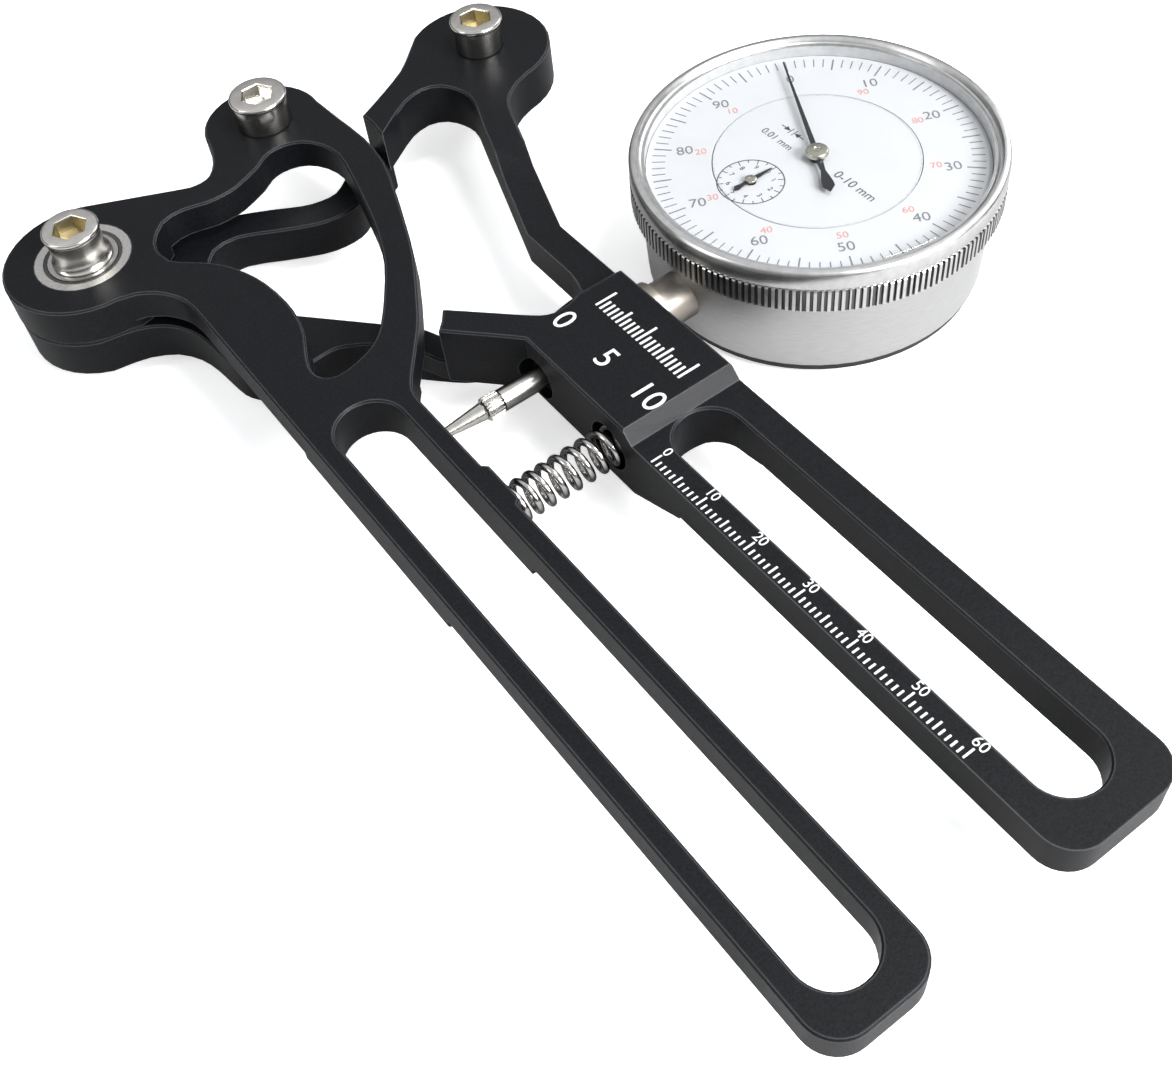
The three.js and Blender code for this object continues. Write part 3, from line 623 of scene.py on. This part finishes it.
def ink(name, body, color, shapes, height):
    """Printed marks: each shape is an outline in millimetres."""
    bm = bmesh.new()
    for points in shapes:
        slab(bm, points, height + INK_LIFT, height + INK_LIFT + INK_DEEP)
    return settle(bm, name, body, INK[color])


def around(centre, radius, angle):
    """Point at this radius and angle from a centre."""
    return centre.x + radius * math.cos(angle), centre.y + radius * math.sin(angle)


def bar(x, y, angle, length, thick):
    """Outline of a mark that starts at x, y and runs outward at this angle."""
    c, s = math.cos(angle), math.sin(angle)
    spots = [(0, -thick / 2), (length, -thick / 2), (length, thick / 2), (0, thick / 2)]
    return [(x + u * c - v * s, y + u * s + v * c) for u, v in spots]


def bar_out(centre, radius, angle, length, thick):
    """Mark on a round scale: it starts at this radius and runs outward."""
    x, y = around(centre, radius, angle)
    return bar(x, y, angle, length, thick)


def hoop(bm, x, y, inner, outer, low, high, segments):
    """Thin printed ring."""
    rings = [(inner, low), (outer, low), (outer, high), (inner, high)]
    return turned(rings, (x, y, 0), segments, closed=True, bm=bm)


def lettering(name, body, color, items, height):
    """Generic numbers and units. Each item is (text, x, y, up angle, size)."""
    parts = []
    for text, x, y, up, size in items:
        curve = bpy.data.curves.new(name, "FONT")
        curve.body = text
        curve.size = size
        curve.align_x = "CENTER"
        curve.align_y = "CENTER"
        curve.extrude = INK_DEEP / 2
        curve.resolution_u = 5
        temp = bpy.data.objects.new(name, curve)
        bpy.context.scene.collection.objects.link(temp)
        temp.rotation_euler = Euler((0, 0, up - math.pi / 2))
        temp.location = (x, y, height + INK_LIFT + INK_DEEP / 2)
        bpy.context.view_layer.update()
        graph = bpy.context.evaluated_depsgraph_get()
        mesh = bpy.data.meshes.new_from_object(temp.evaluated_get(graph))
        mesh.transform(temp.matrix_world)
        parts.append(mesh)
        bpy.data.objects.remove(temp)
    bm = bmesh.new()
    for mesh in parts:
        bm.from_mesh(mesh)
        bpy.data.meshes.remove(mesh)
    return settle(bm, name, body, INK[color])


RING_UP = math.radians(60.2)
HAND_ANGLE = math.radians(61.3)
TICK_RIM = 26.1
NUMBER_RADIUS = 21.1
REVERSED_RADIUS = 18.5
SMALL_RING = 5.2
SMALL_TICK_RIM = 5.25
SMALL_NUMBER_RADIUS = 3.55


def ring_print():
    """Scale of the ring that turns with the bezel: 100 marks and two rows of numbers."""
    marks, numbers, reversed_numbers = [], [], []
    for i in range(100):
        a = RING_UP - step_angle(i, 100)
        length, thick = (2.9, 0.24) if i % 5 == 0 else (2.1, 0.17)
        marks.append(bar_out(DIAL, TICK_RIM - length, a, length, thick))
    ink("ring_ticks", "bezel_set", "grey", marks, FACE_TOP)
    for i in range(10):
        a = RING_UP - step_angle(i, 10)
        numbers.append((str(i * 10), *around(DIAL, NUMBER_RADIUS, a), RING_UP, 2.8))
        if i:
            reversed_numbers.append((str(100 - i * 10), *around(DIAL, REVERSED_RADIUS, a), RING_UP, 1.95))
    lettering("ring_numbers", "bezel_set", "grey", numbers, FACE_TOP)
    lettering("ring_numbers_reversed", "bezel_set", "red", reversed_numbers, FACE_TOP)


def face_print():
    """Print on the fixed inner face: its edge, the small scale, the division sign and the units."""
    x, y = DIAL.x, DIAL.y
    small = middle("small_hub_cap")
    edge = width("inner_dial_face") / 2
    low = FACE_TOP + INK_LIFT
    high = low + INK_DEEP
    settle(hoop(bmesh.new(), x, y, edge - 0.3, edge - 0.04, low, high, 160),
           "inner_face_edge", "frame", INK["pale"])
    bm = bmesh.new()
    hoop(bm, small.x, small.y, SMALL_RING, SMALL_RING + 0.18, low, high, 96)
    for i in range(20):
        length = 1.0 if i % 2 == 0 else 0.6
        slab(bm, bar_out(small, SMALL_TICK_RIM - length, step_angle(i, 20), length, 0.14), low, high)
    # two arrows that point at the gap between two thin lines: the size of one division
    ax, ay = x + 1.6, y + 7.8
    slab(bm, bar(ax - 0.75, ay + 0.15, 0, 1.5, 0.15), low, high)
    slab(bm, bar(ax - 0.75, ay - 0.65, 0, 1.5, 0.15), low, high)
    for side in (1, -1):
        tip = ay - 0.25 + side * 0.5
        slab(bm, bar(ax, tip + side * 0.2, side * math.pi / 2, 1.9, 0.17), low, high)
        arrow = [(ax, tip), (ax + 0.5, tip + side * 1.1), (ax - 0.5, tip + side * 1.1)]
        slab(bm, arrow if side < 0 else arrow[::-1], low, high)
    settle(bm, "inner_face_lines", "frame", INK["black"])
    items = [(str(i), *around(small, SMALL_NUMBER_RADIUS, -step_angle(i, 10)), 0.0, 1.3) for i in range(10)]
    items.append(("0.01 mm", x - 1.4, y + 7.9, 0.0, 1.95))
    items.append(("0-10 mm", x - 0.2, y - 9.0, 0.0, 2.4))
    lettering("inner_face_numbers", "frame", "black", items, FACE_TOP)


ring_print()
face_print()

# ---------------------------------------------------------------- hands


def hand(node, hub, body, length, tail, thick, spade, angle):
    """Tapered hand with a round middle and a spade-shaped tail."""
    low, high = box(node)
    spot = middle(hub)
    ring = 1.15 * thick
    points = [(length, -thick * 0.13), (length, thick * 0.13), (2.2 * thick, thick * 0.48)]
    for i in range(9):
        a = math.radians(32 + 116 * i / 8)
        points.append((ring * math.cos(a), ring * math.sin(a)))
    points += [(-tail * 0.45, thick * 0.42), (-tail * 0.7, spade * 0.85), (-tail * 0.8, spade),
               (-tail * 0.86, spade * 0.97), (-tail, 0)]
    points += [(px, -py) for px, py in reversed(points[2:-1])]
    c, s = math.cos(angle), math.sin(angle)
    outline = [(spot.x + px * c - py * s, spot.y + px * s + py * c) for px, py in points]
    bm = bmesh.new()
    slab(bm, outline, low.z, high.z)
    settle(bm, node + "_look", body, MATS["hand_black"], (node,))


hand("big_hand", "big_hub_cap", "big_hand_arbor", 24.8, 9.3, 0.9, 0.98, HAND_ANGLE)
hand("small_hand", "small_hub_cap", "small_hand_arbor", 4.3, 3.4, 0.7, 0.5, 0.0)


def cap(node, body, radius):
    """Round hub cap with a rounded rim and a shallow dimple."""
    low, high = box(node)
    spot = middle(node)
    height = high.z - low.z
    rings = [
        (0, low.z + 0.02), (radius * 0.6, low.z + 0.02), (radius - 0.06, low.z), (radius, low.z + 0.06),
        (radius, high.z - height * 0.3), (radius - 0.12, high.z - 0.05), (radius - 0.25, high.z),
        (radius * 0.36, high.z), (radius * 0.32, high.z - 0.1), (0, high.z - 0.1),
    ]
    settle(turned(rings, (spot.x, spot.y, 0), 64), node + "_look", body, MATS["hub_steel"],
           (node,), 40)


cap("big_hub_cap", "big_hand_arbor", 1.84)
cap("small_hub_cap", "small_hand_arbor", 0.94)

# ---------------------------------------------------------------- print on the plates

HANDLE_Y = -110
HANDLE_MARKS = 60
BLOCK_MARKS = 20
BLOCK_MARKS_X = 56.6
BLOCK_NUMBERS_X = 51.0


def graded(i, long, middling, short):
    """Length of mark i on a scale whose tenth and fifth marks stand out."""
    if i % 10 == 0:
        return long
    return middling if i % 5 == 0 else short


def plate_print():
    """Plain scales on the fixed handle and on the block."""
    plate = [v.co / MM for v in frame["nodes"]["frame_plate"].data.vertices]
    handle = [c for c in plate if c.y < HANDLE_Y]
    left = min(c.x for c in handle)
    height = max(c.z for c in handle)
    start = middle("return_spring").y - 10
    marks = [bar(left + 0.45, start - i, 0.0, graded(i, 1.9, 1.6, 1.1), 0.3)
             for i in range(HANDLE_MARKS + 1)]
    numbers = [(str(i), left + 3.3, start - i - 0.1, 0.0, 2.25)
               for i in range(0, HANDLE_MARKS + 1, 10)]
    ink("handle_scale", "frame", "white", marks, height)
    lettering("handle_scale_numbers", "frame", "white", numbers, height)
    start = STEM_Y + 0.8
    rows = [bar(BLOCK_MARKS_X, start - i, 0.0, graded(i, 4.0, 3.2, 2.2), 0.42)
            for i in range(BLOCK_MARKS + 1)]
    values = [(str(i // 2), BLOCK_NUMBERS_X, start - i + (0.6 if i == 0 else 0), 0.0, 5.6)
              for i in range(0, BLOCK_MARKS + 1, 10)]
    ink("block_scale", "frame", "white", rows, TOP)
    lettering("block_scale_numbers", "frame", "white", values, TOP)


plate_print()

# ---------------------------------------------------------------- stage

FLOOR_HALF = 4.0
FLOOR_GAP = 0.0002


def floor():
    """Large white floor just under the object."""
    mesh = bpy.data.meshes.new("floor")
    z = CAD_BOX[0][2] - FLOOR_GAP
    spots = [(x * FLOOR_HALF, y * FLOOR_HALF, z) for x, y in ((-1, -1), (1, -1), (1, 1), (-1, 1))]
    mesh.from_pydata(spots, [], [(0, 1, 2, 3)])
    mat, tree = new_material("floor")
    bsdf = tree.nodes["Principled BSDF"]
    bsdf.inputs["Roughness"].default_value = 0.9
    bsdf.inputs["Specular IOR Level"].default_value = 0.1
    bsdf.inputs["Emission Color"].default_value = (1, 1, 1, 1)
    path = tree.nodes.new("ShaderNodeLightPath")
    # the camera sees a white floor, the object's own reflections see a greyer one
    for entry, unseen, seen in (("Base Color", 0.55, 0.93), ("Emission Strength", 0.1, 0.62)):
        link(tree, spread_over(tree, path.outputs["Is Camera Ray"], unseen, seen), bsdf.inputs[entry])
    mesh.materials.append(mat)
    piece = bpy.data.objects.new("floor", mesh)
    bpy.context.scene.collection.objects.link(piece)


floor()

centre = (Vector(CAD_BOX[0]) + Vector(CAD_BOX[1])) / 2

# Name: (distance, direction from the object, (width, height), watts)
SOFTBOXES = {
    "key": (0.6, (0.30, -0.79, 0.53), (0.33, 0.21), 6.2),
    "top": (0.9, (0.304, -0.24, 0.92), (0.22, 0.22), 3.5),
    "side": (0.9, (0.85, 0.15, 0.50), (0.35, 0.5), 1.8),
    "left": (0.9, (-0.85, 0.25, 0.45), (0.25, 0.6), 1.5),
}


def softbox(name, distance, direction, size, power):
    """Rectangular light that faces the object."""
    light = bpy.data.lights.new(name, "AREA")
    light.shape = "RECTANGLE"
    light.size, light.size_y = size
    light.energy = power
    lamp = bpy.data.objects.new(name, light)
    lamp.location = centre + distance * Vector(direction)
    lamp.rotation_euler = (centre - lamp.location).to_track_quat("-Z", "Y").to_euler()
    bpy.context.scene.collection.objects.link(lamp)


for name, settings in SOFTBOXES.items():
    softbox(name, *settings)


def light_world():
    """Soft even light, a white backdrop for the camera, and darker low tones in reflections."""
    world = bpy.data.worlds.new("studio")
    bpy.context.scene.world = world
    world.use_nodes = True
    tree = world.node_tree
    even = tree.nodes["Background"]
    even.inputs["Color"].default_value = (0.95, 0.97, 1.0, 1)
    even.inputs["Strength"].default_value = 0.42
    coords = tree.nodes.new("ShaderNodeTexCoord")
    split = tree.nodes.new("ShaderNodeSeparateXYZ")
    link(tree, coords.outputs["Generated"], split.inputs["Vector"])
    ramp = tree.nodes.new("ShaderNodeValToRGB")
    stops = ramp.color_ramp.elements
    stops[0].position, stops[0].color = 0.0, (0.04, 0.04, 0.04, 1)
    stops[1].position, stops[1].color = 1.0, (0.55, 0.56, 0.58, 1)
    for position, value in ((0.25, 0.12), (0.5, 0.5), (0.75, 0.85)):
        stops.new(position).color = (value, value, value * 1.02, 1)
    link(tree, split.outputs["Z"], ramp.inputs["Fac"])
    seen = tree.nodes.new("ShaderNodeBackground")
    link(tree, ramp.outputs["Color"], seen.inputs["Color"])
    path = tree.nodes.new("ShaderNodeLightPath")
    mix = tree.nodes.new("ShaderNodeMixShader")
    link(tree, path.outputs["Is Glossy Ray"], mix.inputs["Fac"])
    link(tree, even.outputs["Background"], mix.inputs[1])
    link(tree, seen.outputs["Background"], mix.inputs[2])
    backdrop = tree.nodes.new("ShaderNodeBackground")
    backdrop.inputs["Color"].default_value = (0.98, 0.98, 0.98, 1)
    final = tree.nodes.new("ShaderNodeMixShader")
    link(tree, path.outputs["Is Camera Ray"], final.inputs["Fac"])
    link(tree, mix.outputs["Shader"], final.inputs[1])
    link(tree, backdrop.outputs["Background"], final.inputs[2])
    link(tree, final.outputs["Shader"], tree.nodes["World Output"].inputs["Surface"])


light_world()

# ---------------------------------------------------------------- camera

AZIMUTH = math.radians(-119.7)
ELEVATION = math.radians(52.18)
ROLL = math.radians(8.285)
DISTANCE = 0.2206
LENS = 44.78
AIM_OFFSET = Vector((-0.02077, -0.01108, -0.01603))


def camera():
    """Camera solved from the circles in the photo."""
    data = bpy.data.cameras.new("camera")
    data.sensor_fit = "HORIZONTAL"
    data.sensor_width = 36.0
    data.lens = LENS
    data.clip_start = 0.005
    cam = bpy.data.objects.new("camera", data)
    flat = math.cos(ELEVATION)
    out = Vector((math.cos(AZIMUTH) * flat, math.sin(AZIMUTH) * flat, math.sin(ELEVATION)))
    aim = centre + AIM_OFFSET
    turn = out.to_track_quat("Z", "Y").to_matrix() @ Matrix.Rotation(-ROLL, 3, "Z")
    cam.matrix_world = Matrix.Translation(aim + out * DISTANCE) @ turn.to_4x4()
    bpy.context.scene.collection.objects.link(cam)
    bpy.context.scene.camera = cam


camera()
bpy.context.scene.view_settings.view_transform = "Standard"
